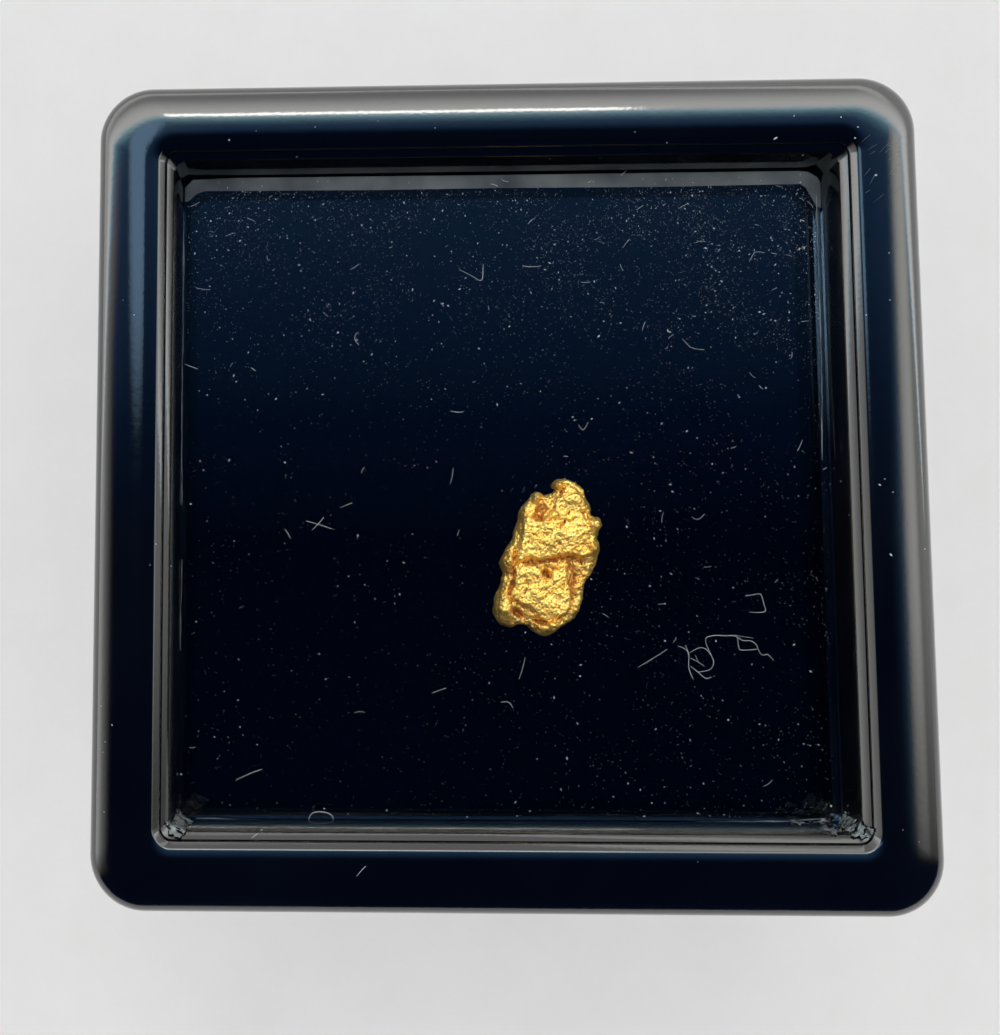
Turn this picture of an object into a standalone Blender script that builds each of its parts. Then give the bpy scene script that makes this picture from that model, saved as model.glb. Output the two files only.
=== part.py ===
"""A gold nugget in a small square display box.

Run with: blender --background --python part.py

The box stands on z = 0 with its centre on the z axis. A push-fit lid holds a clear pane in a
liner, deep under its rounded frame, and a foam pad holds the nugget up close under the pane.
Sizes below are millimetres, and MM turns them into Blender's metres.
"""

import math

import bmesh
import bpy
import numpy as np
from mathutils import Matrix, Vector, noise

MM = 0.001

# Box, outside
SIDE = 30.0
HEIGHT = 18.0
CORNER_R = 2.0
LID_EDGE_R = 1.9  # the frame's outer top edge is one full round, this wide in plan
LID_EDGE_RISE = 1.0  # and this high
FOOT_EDGE_R = 0.6
SEAM_Z = 8.5
SEAM_GAP = 0.2

# Lid
LID_WALL = 1.1
FRAME_THICKNESS = 1.5
OPENING = 24.8  # across the hole in the frame
OPENING_CORNER_R = 0.45
OPENING_EDGE_R = 0.6
REACH_OVER = 0.1  # how far past a hole's edge its rim is looked for
CUT_OVER = 5.0  # how far a cutter stands clear of what it cuts

# Liner: a collar that shows inside the opening, with a flange under the frame and a ledge below
LINER_GAP = 0.05
COLLAR_DROP = 0.36  # from the frame's crest to the collar's rim
COLLAR_MOUTH = 24.24
COLLAR_CORNER_R = 0.43
COLLAR_MOUTH_CORNER_R = 0.4
COLLAR_RIM_BEVEL = 0.2  # the rim slopes down into the mouth
FLANGE = 27.2
FLANGE_THICKNESS = 1.2
LEDGE = 24.1  # across the hole below the pane
LEDGE_THICKNESS = 0.5
PANE_TOP_DROP = 2.5  # from the frame's crest to the pane
PANE = 24.5
PANE_THICKNESS = 1.0
PANE_CORNER_R = 0.35
PANE_PLAY = 0.06
POCKET_OVER = 0.3  # how far the pane's pocket runs up into the mouth

# Base
RIM_WALL = 0.8
RIM_GAP = 0.2  # between the rim and the inside of the lid
RIM_TOP = 11.6
RIM_EDGE_R = 0.25
HOLLOW_EDGE_R = 0.3
FLOOR_THICKNESS = 1.3
UNDERSIDE_RECESS = 0.4
FOOT_WIDTH = 2.6
RECESS_CORNER_R = 1.0
RECESS_EDGE_R = 0.2

# Pad
PAD_TOP = 11.65
PAD_GAP = 0.25
PAD_CORNER_R = 1.0
PAD_EDGE_R = 0.45
PAD_DENT_DEPTH = 0.2
PAD_DENT_RADII = (2.2, 3.0)
PAD_TOP_STEPS = 12  # squares across the pad's top
PAD_TOP_MARGIN = 0.3
THIN = 0.01

# Nugget: lies on the pad, its long axis a little off the box's y axis
NUGGET_AT = (1.95, -2.54)
NUGGET_FIT = 0.967  # how much of its traced plan size the body keeps, because its skin stands out from it
NUGGET_MIDDLE_Z = 12.4
NUGGET_HALF_THICKNESS = 0.72  # of the plain body; the plates stand on it
NUGGET_EDGE_R = 0.34
VOXEL = 0.075
NUGGET_FACES = 5800

# The nugget's outline, seen from above, from its top lobe clockwise
OUTLINE = (
    (0.72, 3.14), (1.00, 3.06), (1.35, 2.79), (1.59, 2.31), (1.71, 1.99),  # top lobe
    (1.67, 1.67), (1.83, 1.59), (2.03, 1.55), (2.11, 1.27), (1.99, 0.92),  # notch and ear
    (1.95, 0.68), (2.03, 0.44), (1.99, 0.08), (1.83, -0.36), (1.63, -0.72),  # right bulge
    (1.43, -1.15), (1.35, -1.55), (1.23, -1.99), (1.15, -2.23), (0.92, -2.51),  # right flank
    (0.72, -2.63), (0.32, -2.87), (0.04, -3.06), (-0.32, -3.14), (-0.64, -2.91),  # foot
    (-0.88, -2.71), (-1.27, -2.71), (-1.59, -2.79), (-1.95, -2.63), (-2.15, -2.31),  # heel
    (-2.15, -1.95), (-2.09, -1.63), (-1.91, -1.19), (-1.75, -0.68), (-1.83, -0.36),  # left flank
    (-1.87, -0.16), (-1.79, 0.04), (-1.51, 0.48), (-1.35, 0.80), (-1.15, 1.35),  # left bulge
    (-1.03, 1.83), (-0.88, 2.11), (-0.64, 2.39), (-0.44, 2.59), (-0.20, 2.51),  # shoulder
    (-0.16, 2.43), (0.24, 2.59), (0.44, 2.75), (0.30, 2.87), (0.36, 3.02),  # saddle and hook
)

# Corners of the outline that stay sharp
NOTCHES = ((1.67, 1.67), (-0.16, 2.43), (0.24, 2.59), (0.30, 2.87), (-1.75, -0.68), (-1.27, -2.71))

# Raised plates of the top face: outline, height, and width of the slope around it
PLATES = {
    "upper": (
        (
            (-1.00, 1.70), (-0.55, 1.45), (-0.10, 1.55), (0.20, 1.95), (0.40, 2.35), (0.65, 2.60),
            (1.10, 2.60), (1.45, 2.25), (1.62, 1.90), (1.62, 1.60), (1.90, 1.50), (2.02, 1.25),
            (1.86, 0.85), (1.80, 0.60), (1.90, 0.40), (1.80, 0.10), (1.30, 0.00), (0.90, 0.08),
            (0.30, -0.02), (-0.30, -0.10), (-0.95, -0.06), (-1.30, -0.30), (-1.22, 0.25),
            (-1.10, 0.70),
        ),
        0.20,
        0.18,
    ),
    "lower": (
        (
            (-1.35, -0.48), (-0.90, -0.38), (-0.30, -0.38), (0.10, -0.55), (0.60, -0.40),
            (0.76, -0.88), (0.84, -1.50), (0.68, -2.15), (0.36, -2.40), (-0.10, -2.47),
            (-0.36, -2.40), (-0.75, -2.00), (-1.20, -1.80), (-1.58, -1.55), (-1.62, -1.35),
            (-1.42, -1.00),
        ),
        0.16,
        0.16,
    ),
    "crown": (
        ((0.50, 2.55), (0.75, 2.85), (1.05, 2.75), (1.30, 2.45), (1.20, 2.20), (0.70, 2.20)),
        0.06,
        0.14,
    ),
}

# Lumps and hollows of the top face: place, radii, turn in degrees, and height or depth
LUMPS = {
    "heel_lobe": ((-1.82, -2.06), (0.32, 0.48), -12, 0.42),
    "foot_lump": ((0.10, -2.76), (0.28, 0.20), 10, 0.36),
    "foot_side_lump": ((-0.36, -2.80), (0.22, 0.20), 0, 0.26),
    "ear": ((1.86, 1.26), (0.20, 0.30), 8, 0.26),
    "side_knob": ((1.80, 0.44), (0.18, 0.24), 0, 0.22),
    "hook": ((0.40, 2.88), (0.14, 0.14), 0, 0.30),
    "left_bulge": ((-1.66, -0.18), (0.22, 0.32), 0, 0.28),
    "shoulder_rim": ((-0.50, 2.42), (0.22, 0.14), 40, 0.20),
    "middle_swell": ((0.55, 0.95), (0.95, 0.65), 0, 0.10),
    "lower_swell": ((-0.10, -1.35), (0.70, 0.45), 10, 0.07),
    "toe_swell": ((0.15, -2.05), (0.45, 0.32), 0, 0.09),
    "pit": ((-0.14, -0.70), (0.17, 0.25), 12, -0.52),
    "pocket": ((-0.30, 1.92), (0.20, 0.34), -14, -0.24),
    "pocket_tail": ((-0.40, 1.58), (0.26, 0.10), -20, -0.16),
    "shoulder_hole": ((-0.28, 2.28), (0.07, 0.07), 0, -0.14),
    "flank_dent": ((1.05, -0.55), (0.34, 0.42), 10, -0.14),
    "lobe_dent": ((1.45, 1.76), (0.18, 0.13), 0, -0.10),
    "heel_hollow": ((-1.25, -2.30), (0.32, 0.14), -35, -0.26),
    "toe_hollow": ((-0.45, -2.55), (0.34, 0.10), -12, -0.20),
    "shoulder_slope": ((0.05, 2.45), (0.26, 0.14), 30, -0.14),
}

# Creases of the top face: the line, its half-width, and its depth
CREASES = {
    "ledge": (
        ((-0.95, -0.22), (-0.55, -0.20), (-0.10, -0.12), (0.45, -0.10), (0.85, -0.02), (1.30, -0.16)),
        0.10,
        0.15,
    ),
    "flank": (
        ((0.84, -0.10), (0.86, -0.40), (1.02, -0.68), (0.95, -1.08), (0.86, -1.60), (0.80, -2.05),
         (0.98, -2.38)),
        0.07,
        0.10,
    ),
    "left": (
        ((-1.18, 1.25), (-1.22, 0.70), (-1.38, 0.25), (-1.46, -0.20), (-1.50, -0.72), (-1.44, -1.05),
         (-1.66, -1.30), (-1.60, -1.70), (-1.46, -2.05), (-1.05, -2.36)),
        0.07,
        0.10,
    ),
    "brow": (((-0.48, 1.46), (0.10, 1.50), (0.70, 1.48), (1.20, 1.54), (1.66, 1.56)), 0.05, 0.07),
    "crack": (((0.62, 1.40), (0.52, 1.28), (0.46, 1.10)), 0.05, 0.14),
    "lobe_rim": (((0.85, 2.96), (1.20, 2.72), (1.46, 2.28)), 0.05, 0.10),
    "saddle": (((0.05, 2.10), (0.32, 2.42), (0.56, 2.72)), 0.05, 0.08),
}

WRINKLE = 0.075  # height of the uneven surface
WRINKLE_SIZE = 0.4
RIM_SHARE = 0.35  # how much of the relief stays where the body's wall is upright


def collection(name):
    made = bpy.data.collections.new(name)
    bpy.context.scene.collection.children.link(made)
    return made


def material(name, colour, roughness, metallic=0.0, transmission=0.0):
    made = bpy.data.materials.new(name)
    made.use_nodes = True
    shader = made.node_tree.nodes["Principled BSDF"]
    shader.inputs["Base Color"].default_value = (*colour, 1.0)
    shader.inputs["Roughness"].default_value = roughness
    shader.inputs["Metallic"].default_value = metallic
    shader.inputs["Transmission Weight"].default_value = transmission
    made.diffuse_color = (*colour, 1.0)
    return made


def put(name, mesh, where):
    """A new object that holds the mesh, in the collection."""
    made = bpy.data.objects.new(name, mesh)
    where.objects.link(made)
    return made


def evaluated_mesh(obj):
    """The object's mesh with its modifiers applied."""
    graph = bpy.context.evaluated_depsgraph_get()
    return bpy.data.meshes.new_from_object(obj.evaluated_get(graph), depsgraph=graph)


def shade_smooth(mesh, angle=35):
    mesh.shade_smooth()
    mesh.set_sharp_from_angle(angle=math.radians(angle))


def edges_at(bm, z):
    """The edges that lie flat at this height and turn a corner."""
    return [
        edge
        for edge in bm.edges
        if all(abs(vert.co.z - z) < 1e-6 for vert in edge.verts)
        and edge.calc_face_angle(0) > math.radians(30)
    ]


def block(width, bottom, top, corner_r, top_r=0.0, bottom_r=0.0, corner_steps=8, edge_steps=6,
          top_rise=None):
    """A square block's mesh with round corners in plan, and round top and bottom edges.

    A top_rise makes the top edge part of an ellipse of that height.
    """
    bm = bmesh.new()
    bmesh.ops.create_cube(bm, size=1.0)
    size = Vector((width, width, top - bottom)) * MM
    bmesh.ops.scale(bm, vec=size, verts=bm.verts)
    bmesh.ops.translate(bm, vec=(0, 0, (top + bottom) / 2 * MM), verts=bm.verts)
    upright = [edge for edge in bm.edges if abs(edge.verts[0].co.z - edge.verts[1].co.z) > MM / 10]
    bmesh.ops.bevel(
        bm, geom=upright, offset=corner_r * MM, segments=corner_steps, profile=0.5, affect="EDGES"
    )
    for height, radius in ((top, top_r), (bottom, bottom_r)):
        if radius:
            bmesh.ops.bevel(
                bm,
                geom=edges_at(bm, height * MM),
                offset=radius * MM,
                segments=edge_steps,
                profile=0.5,
                affect="EDGES",
            )
    if top_rise:
        for vert in bm.verts:
            drop = top * MM - vert.co.z
            if drop < top_r * MM * 1.001:
                vert.co.z = top * MM - drop * top_rise / top_r
    mesh = bpy.data.meshes.new("block")
    bm.to_mesh(mesh)
    bm.free()
    return mesh


def combine(obj, other, operation):
    modifier = obj.modifiers.new(operation.lower(), "BOOLEAN")
    modifier.operation = operation
    modifier.solver = "EXACT"
    modifier.object = other


def helper(name, mesh, where):
    made = put(name, mesh, where)
    made.hide_render = True
    made.display_type = "WIRE"
    return made


def round_inner_edge(mesh, z, reach, radius, steps):
    """Rounds the edge of the hole whose rim lies at height z, inside the square of this reach."""
    bm = bmesh.new()
    bm.from_mesh(mesh)
    rim = [
        edge
        for edge in edges_at(bm, z * MM)
        if all(max(abs(vert.co.x), abs(vert.co.y)) < reach * MM for vert in edge.verts)
    ]
    bmesh.ops.bevel(
        bm, geom=rim, offset=radius * MM, segments=steps, profile=0.5, affect="EDGES"
    )
    bm.to_mesh(mesh)
    bm.free()


def make_base(parts, cutters):
    rim_outer = SIDE - 2 * (LID_WALL + RIM_GAP)
    cavity = rim_outer - 2 * RIM_WALL
    base = put(
        "box_base",
        block(SIDE, 0, SEAM_Z, CORNER_R, bottom_r=FOOT_EDGE_R, edge_steps=4),
        parts,
    )
    rim = block(rim_outer, FLOOR_THICKNESS, RIM_TOP, CORNER_R - LID_WALL, top_r=RIM_EDGE_R, edge_steps=3)
    combine(base, helper("rim", rim, cutters), "UNION")
    hollow = block(cavity, FLOOR_THICKNESS, HEIGHT, PAD_CORNER_R, bottom_r=HOLLOW_EDGE_R,
                   edge_steps=2)
    combine(base, helper("base_hollow", hollow, cutters), "DIFFERENCE")
    recess = block(SIDE - 2 * FOOT_WIDTH, -CUT_OVER, UNDERSIDE_RECESS, RECESS_CORNER_R,
                   top_r=RECESS_EDGE_R, edge_steps=2)
    combine(base, helper("underside_recess", recess, cutters), "DIFFERENCE")
    return base


def make_lid(parts, cutters):
    shell = put(
        "lid_shell",
        block(SIDE, SEAM_Z + SEAM_GAP, HEIGHT, CORNER_R, top_r=LID_EDGE_R, edge_steps=9,
              top_rise=LID_EDGE_RISE),
        parts,
    )
    inside = SIDE - 2 * LID_WALL
    hollow = block(inside, 0, HEIGHT - FRAME_THICKNESS, CORNER_R - LID_WALL)
    combine(shell, helper("lid_hollow", hollow, cutters), "DIFFERENCE")
    opening = block(OPENING, 0, HEIGHT + CUT_OVER, OPENING_CORNER_R, corner_steps=5)
    combine(shell, helper("lid_opening", opening, cutters), "DIFFERENCE")
    mesh = evaluated_mesh(shell)
    round_inner_edge(mesh, HEIGHT, OPENING / 2 + REACH_OVER, OPENING_EDGE_R, 5)
    bpy.data.objects.remove(shell)
    return put("lid", mesh, parts)


def make_liner(parts, cutters):
    collar_outer = OPENING - 2 * LINER_GAP
    collar_top = HEIGHT - COLLAR_DROP
    flange_top = HEIGHT - FRAME_THICKNESS - 2 * LINER_GAP
    pane_top = HEIGHT - PANE_TOP_DROP
    ledge_top = pane_top - PANE_THICKNESS - 2 * PANE_PLAY
    liner = put(
        "liner_body",
        block(collar_outer, ledge_top - LEDGE_THICKNESS, collar_top, COLLAR_CORNER_R),
        parts,
    )
    flange = block(FLANGE, flange_top - FLANGE_THICKNESS, flange_top, CORNER_R - LID_WALL,
                   corner_steps=4)
    combine(liner, helper("liner_flange", flange, cutters), "UNION")
    mouth = block(COLLAR_MOUTH, pane_top, HEIGHT, COLLAR_MOUTH_CORNER_R, corner_steps=7)
    combine(liner, helper("liner_mouth", mouth, cutters), "DIFFERENCE")
    pocket_width = PANE + 2 * PANE_PLAY
    pocket = block(pocket_width, ledge_top, pane_top + POCKET_OVER, PANE_CORNER_R + PANE_PLAY,
                   corner_steps=4)
    combine(liner, helper("pane_pocket", pocket, cutters), "DIFFERENCE")
    below = block(LEDGE, 0, pane_top, PANE_CORNER_R, corner_steps=4)
    combine(liner, helper("ledge_hole", below, cutters), "DIFFERENCE")
    mesh = evaluated_mesh(liner)
    round_inner_edge(mesh, collar_top, COLLAR_MOUTH / 2 + REACH_OVER, COLLAR_RIM_BEVEL, 2)
    bpy.data.objects.remove(liner)
    return put("window_liner", mesh, parts)


def make_pane(parts):
    top = HEIGHT - PANE_TOP_DROP
    return put(
        "window_pane", block(PANE, top - PANE_THICKNESS, top, PANE_CORNER_R, corner_steps=4), parts
    )


def make_pad(parts):
    """The foam pad, its top pressed down a little where the nugget lies."""
    width = SIDE - 2 * (LID_WALL + RIM_GAP + RIM_WALL + PAD_GAP)
    mesh = block(width, FLOOR_THICKNESS + PAD_GAP, PAD_TOP, PAD_CORNER_R, top_r=PAD_EDGE_R,
                 corner_steps=4, edge_steps=3)
    bm = bmesh.new()
    bm.from_mesh(mesh)
    half = width / 2 - PAD_EDGE_R - PAD_TOP_MARGIN
    flat_top = (PAD_TOP - THIN) * MM
    for step in range(1, PAD_TOP_STEPS):
        place = (-half + 2 * half * step / PAD_TOP_STEPS) * MM
        for normal in ((1, 0, 0), (0, 1, 0)):
            bmesh.ops.bisect_plane(
                bm,
                geom=bm.verts[:] + bm.edges[:]
                + [face for face in bm.faces if face.calc_center_median().z > flat_top],
                plane_co=Vector(normal) * place,
                plane_no=normal,
            )
    for vert in bm.verts:
        if vert.co.z > flat_top:
            away = vert.co.to_2d() / MM - Vector(NUGGET_AT)
            reach = (away.x / PAD_DENT_RADII[0]) ** 2 + (away.y / PAD_DENT_RADII[1]) ** 2
            vert.co.z -= PAD_DENT_DEPTH * MM * math.exp(-reach)
    bm.to_mesh(mesh)
    bm.free()
    return put("foam_pad", mesh, parts)


def distance_inside(points, loop):
    """How far each point lies inside the closed loop, negative outside it."""
    nearest = np.full(len(points), np.inf)
    inside = np.zeros(len(points), bool)
    corners = np.array(loop)
    for start, end in zip(corners, np.roll(corners, -1, axis=0)):
        along = end - start
        offset = points - start
        share = np.clip(offset @ along / (along @ along), 0, 1)
        nearest = np.minimum(nearest, np.linalg.norm(offset - share[:, None] * along, axis=1))
        crosses = (start[1] > points[:, 1]) != (end[1] > points[:, 1])
        rise = np.where(along[1] == 0, 1e-9, along[1])
        inside ^= crosses & (offset[:, 0] < along[0] * offset[:, 1] / rise)
    return np.where(inside, nearest, -nearest)


def distance_to_line(points, line):
    nearest = np.full(len(points), np.inf)
    corners = np.array(line)
    for start, end in zip(corners, corners[1:]):
        along = end - start
        offset = points - start
        share = np.clip(offset @ along / (along @ along), 0, 1)
        nearest = np.minimum(nearest, np.linalg.norm(offset - share[:, None] * along, axis=1))
    return nearest


def smooth_step(value):
    value = np.clip(value, 0, 1)
    return value * value * (3 - 2 * value)


def relief(points):
    """Height of the nugget's top face over its plain body, at each point of the plan."""
    height = np.zeros(len(points))
    for loop, rise, slope in PLATES.values():
        height += rise * smooth_step(distance_inside(points, loop) / slope + 0.5)
    for place, radii, turn, rise in LUMPS.values():
        angle = math.radians(turn)
        offset = points - np.array(place)
        along = offset @ np.array((math.cos(angle), math.sin(angle))) / radii[0]
        across = offset @ np.array((-math.sin(angle), math.cos(angle))) / radii[1]
        height += rise * np.exp(-((along**2 + across**2) ** 1.5))
    for line, half_width, depth in CREASES.values():
        height -= depth * np.exp(-((distance_to_line(points, line) / half_width) ** 2))
    return height


def nugget_body():
    """The outline as a rounded slab, in millimetres."""
    curve = bpy.data.curves.new("nugget_outline", "CURVE")
    curve.dimensions = "2D"
    curve.fill_mode = "BOTH"
    curve.extrude = NUGGET_HALF_THICKNESS - NUGGET_EDGE_R
    curve.bevel_depth = NUGGET_EDGE_R
    curve.bevel_resolution = 5
    curve.offset = -NUGGET_EDGE_R
    curve.resolution_u = 3
    spline = curve.splines.new("BEZIER")
    spline.bezier_points.add(len(OUTLINE) - 1)
    for knot, (x, y) in zip(spline.bezier_points, OUTLINE):
        knot.co = (x, y, 0)
        knot.handle_left_type = knot.handle_right_type = (
            "VECTOR" if (x, y) in NOTCHES else "AUTO"
        )
    spline.use_cyclic_u = True
    return curve


def remeshed(mesh_or_curve, where, voxel):
    holder = put("nugget_step", mesh_or_curve, where)
    mesh = evaluated_mesh(holder)
    bpy.data.objects.remove(holder)
    holder = put("nugget_step", mesh, where)
    modifier = holder.modifiers.new("remesh", "REMESH")
    modifier.mode = "VOXEL"
    modifier.voxel_size = voxel
    made = evaluated_mesh(holder)
    bpy.data.objects.remove(holder)
    return made


def sculpt(mesh):
    """Raises the top face by its relief, and makes the whole surface uneven."""
    points = np.empty(len(mesh.vertices) * 3)
    mesh.vertices.foreach_get("co", points)
    points = points.reshape(-1, 3)
    normals = np.array([vert.normal for vert in mesh.vertices])
    facing_up = smooth_step(normals[:, 2] * 2 + RIM_SHARE)
    points[:, 2] += relief(points[:, :2]) * facing_up
    for index, point in enumerate(points):
        place = Vector(point) / WRINKLE_SIZE
        points[index] += normals[index] * WRINKLE * noise.fractal(place, 0.9, 2.1, 3)
    mesh.vertices.foreach_set("co", points.ravel())


def make_nugget(parts):
    body = remeshed(nugget_body(), parts, VOXEL)
    sculpt(body)
    body = remeshed(body, parts, VOXEL)
    holder = put("nugget_step", body, parts)
    smooth = holder.modifiers.new("smooth", "SMOOTH")
    smooth.factor = 0.5
    smooth.iterations = 1
    thin_out = holder.modifiers.new("thin_out", "DECIMATE")
    thin_out.ratio = NUGGET_FACES / (2 * len(body.polygons))
    thin_out.use_collapse_triangulate = True
    mesh = evaluated_mesh(holder)
    bpy.data.objects.remove(holder)
    mesh.transform(Matrix.Diagonal((NUGGET_FIT * MM, NUGGET_FIT * MM, MM, 1.0)))
    nugget = put("gold_nugget", mesh, parts)
    nugget.location = (NUGGET_AT[0] * MM, NUGGET_AT[1] * MM, NUGGET_MIDDLE_Z * MM)
    return nugget


def main():
    for obj in list(bpy.data.objects):
        bpy.data.objects.remove(obj)
    parts = collection("gold_nugget_in_display_box")
    cutters = collection("cutters")
    black_plastic = material("black_plastic", (0.012, 0.013, 0.016), 0.22)
    finishes = (
        (make_base(parts, cutters), black_plastic, 30),
        (make_lid(parts, cutters), black_plastic, 40),
        (make_liner(parts, cutters), black_plastic, 40),
        (make_pane(parts), material("clear_pane", (0.95, 0.97, 0.97), 0.02, transmission=1.0), 30),
        (make_pad(parts), material("black_foam", (0.010, 0.010, 0.012), 0.9), 40),
        (make_nugget(parts), material("gold", (0.92, 0.67, 0.24), 0.32, metallic=1.0), 180),
    )
    for obj, finish, angle in finishes:
        obj.data.materials.clear()
        obj.data.materials.append(finish)
        shade_smooth(obj.data, angle)


main()
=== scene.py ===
"""Looks of the gold nugget in its display box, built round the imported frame.

Lengths are millimetres until MM turns them into metres. What is said to be pixels is a place in the
photograph, which at_pixel() and seen() turn into a place on the object.
"""

import math

import bmesh
import bpy
import numpy as np
from mathutils import Matrix, Vector, noise
from mathutils.bvhtree import BVHTree


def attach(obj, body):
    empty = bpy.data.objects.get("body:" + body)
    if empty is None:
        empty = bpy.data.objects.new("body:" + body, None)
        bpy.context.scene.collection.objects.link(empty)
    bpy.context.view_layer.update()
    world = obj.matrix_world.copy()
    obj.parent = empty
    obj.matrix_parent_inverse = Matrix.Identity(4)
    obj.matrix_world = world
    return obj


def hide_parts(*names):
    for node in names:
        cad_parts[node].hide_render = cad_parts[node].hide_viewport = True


MM = 0.001
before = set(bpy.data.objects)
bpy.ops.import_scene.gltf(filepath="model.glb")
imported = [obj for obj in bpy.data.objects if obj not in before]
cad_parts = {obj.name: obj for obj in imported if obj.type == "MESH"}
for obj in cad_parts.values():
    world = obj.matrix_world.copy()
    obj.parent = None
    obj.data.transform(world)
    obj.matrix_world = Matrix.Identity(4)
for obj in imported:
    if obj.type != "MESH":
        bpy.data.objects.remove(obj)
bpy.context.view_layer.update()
rng = np.random.default_rng(7)

# ---------------------------------------------------------------- camera
PHOTO_W, PHOTO_H = 1000, 1035
FOCAL_PX = 1200.0
CENTRE_PX = (352.6, 448.8)  # the lens axis: the photograph is a crop
SENSOR_MM = 36.0
CAMERA_AT = (-0.004094, -0.002046, 0.060603)  # metres
CAMERA_TURN = (4.5675, 1.969, -0.148)  # degrees
camera_data = bpy.data.cameras.new("camera")
camera = bpy.data.objects.new("camera", camera_data)
bpy.context.scene.collection.objects.link(camera)
bpy.context.scene.camera = camera
camera_data.sensor_width = SENSOR_MM
camera_data.lens = SENSOR_MM * FOCAL_PX / PHOTO_H
camera_data.shift_x = (PHOTO_W / 2 - CENTRE_PX[0]) / PHOTO_H
camera_data.shift_y = -(PHOTO_H / 2 - CENTRE_PX[1]) / PHOTO_H
camera_data.clip_start = 0.001
camera.location = CAMERA_AT
camera.rotation_euler = [math.radians(a) for a in CAMERA_TURN]
camera_to_row = camera.rotation_euler.to_matrix()


def at_pixel(x, y, z):
    """The point (mm) at height z that the photograph's pixel shows."""
    ray = camera_to_row @ Vector(((x - CENTRE_PX[0]) / FOCAL_PX, -(y - CENTRE_PX[1]) / FOCAL_PX, -1.0))
    eye = camera.location / MM
    return eye + ray * ((z - eye.z) / ray.z)


# ---------------------------------------------------------------- mesh helpers
CORNER_STEPS, SIDE_STEPS = 16, 24


def put(name, mesh, mat, smooth=True, angle=None):
    """An object in the scene, flat, smooth, or smooth but for the edges sharper than an angle (degrees)."""
    obj = bpy.data.objects.new(name, mesh)
    bpy.context.scene.collection.objects.link(obj)
    mesh.materials.append(mat)
    if smooth:
        mesh.shade_smooth()
        if angle:
            mesh.set_sharp_from_angle(angle=math.radians(angle))
    return obj


def finished(bm, name):
    """The mesh that a bmesh holds. The bmesh is freed."""
    mesh = bpy.data.meshes.new(name)
    bm.to_mesh(mesh)
    bm.free()
    return mesh


def ring(half, z, corner):
    """The points of a square with round corners, at height z, anticlockwise."""
    points = []
    flat = half - corner
    for side in range(4):
        turn = Matrix.Rotation(side * math.pi / 2, 3, "Z")
        for i in range(SIDE_STEPS):
            points.append(turn @ Vector((half, -flat + 2 * flat * i / SIDE_STEPS, z)))
        for i in range(CORNER_STEPS):
            a = math.pi / 2 * i / CORNER_STEPS
            points.append(turn @ Vector((flat + corner * math.cos(a), flat + corner * math.sin(a), z)))
    return points


def loft(name, rings, capped=False):
    """Quads between rings of (half-width, height, corner radius), closed on the first one or capped."""
    bm = bmesh.new()
    rows = [[bm.verts.new(p * MM) for p in ring(*r)] for r in rings]
    n = len(rows[0])
    for low, high in zip(rows, rows[1:] + ([] if capped else rows[:1])):
        for i in range(n):
            bm.faces.new((low[i], low[(i + 1) % n], high[(i + 1) % n], high[i]))
    if capped:
        bm.faces.new(rows[-1])
        bm.faces.new(rows[0][::-1])
    bmesh.ops.recalc_face_normals(bm, faces=bm.faces)
    return finished(bm, name)


def arc(half, z, corner, radius, start, end, steps):
    """Rings along a quarter round: centre half-width and height, from angle start to end (0 is up)."""
    rings = []
    for i in range(steps + 1):
        a = math.radians(start + (end - start) * i / steps)
        out = radius * math.sin(a)
        rings.append((half + out, z + radius * math.cos(a), corner + out))
    return rings


# ---------------------------------------------------------------- node helpers
class Tree:
    """Short calls that add nodes to a node tree."""

    def __init__(self, tree):
        self.tree = tree

    def add(self, kind, **settings):
        node = self.tree.nodes.new(kind)
        for key, value in settings.items():
            setattr(node, key, value)
        return node

    def link(self, output, socket):
        self.tree.links.new(output, socket)

    def give(self, socket, value):
        """Sets a socket to a number or a colour, or links another node's output to it."""
        if isinstance(value, tuple):
            socket.default_value = (*value, 1)
        elif isinstance(value, (int, float)):
            socket.default_value = value
        else:
            self.link(value, socket)

    def range(self, value, low, high, to_low=0.0, to_high=1.0, kind="LINEAR"):
        node = self.add("ShaderNodeMapRange", interpolation_type=kind)
        limits = {"From Min": low, "From Max": high, "To Min": to_low, "To Max": to_high}
        for name, limit in limits.items():
            node.inputs[name].default_value = limit
        self.link(value, node.inputs["Value"])
        return node.outputs["Result"]

    def maths(self, operation, a, b):
        node = self.add("ShaderNodeMath", operation=operation)
        self.give(node.inputs[0], a)
        self.give(node.inputs[1], b)
        return node.outputs[0]

    def mix(self, share, a, b, blend="MIX"):
        node = self.add("ShaderNodeMix", data_type="RGBA", blend_type=blend)
        for index, value in ((0, share), (6, a), (7, b)):
            self.give(node.inputs[index], value)
        return node.outputs[2]


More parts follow.
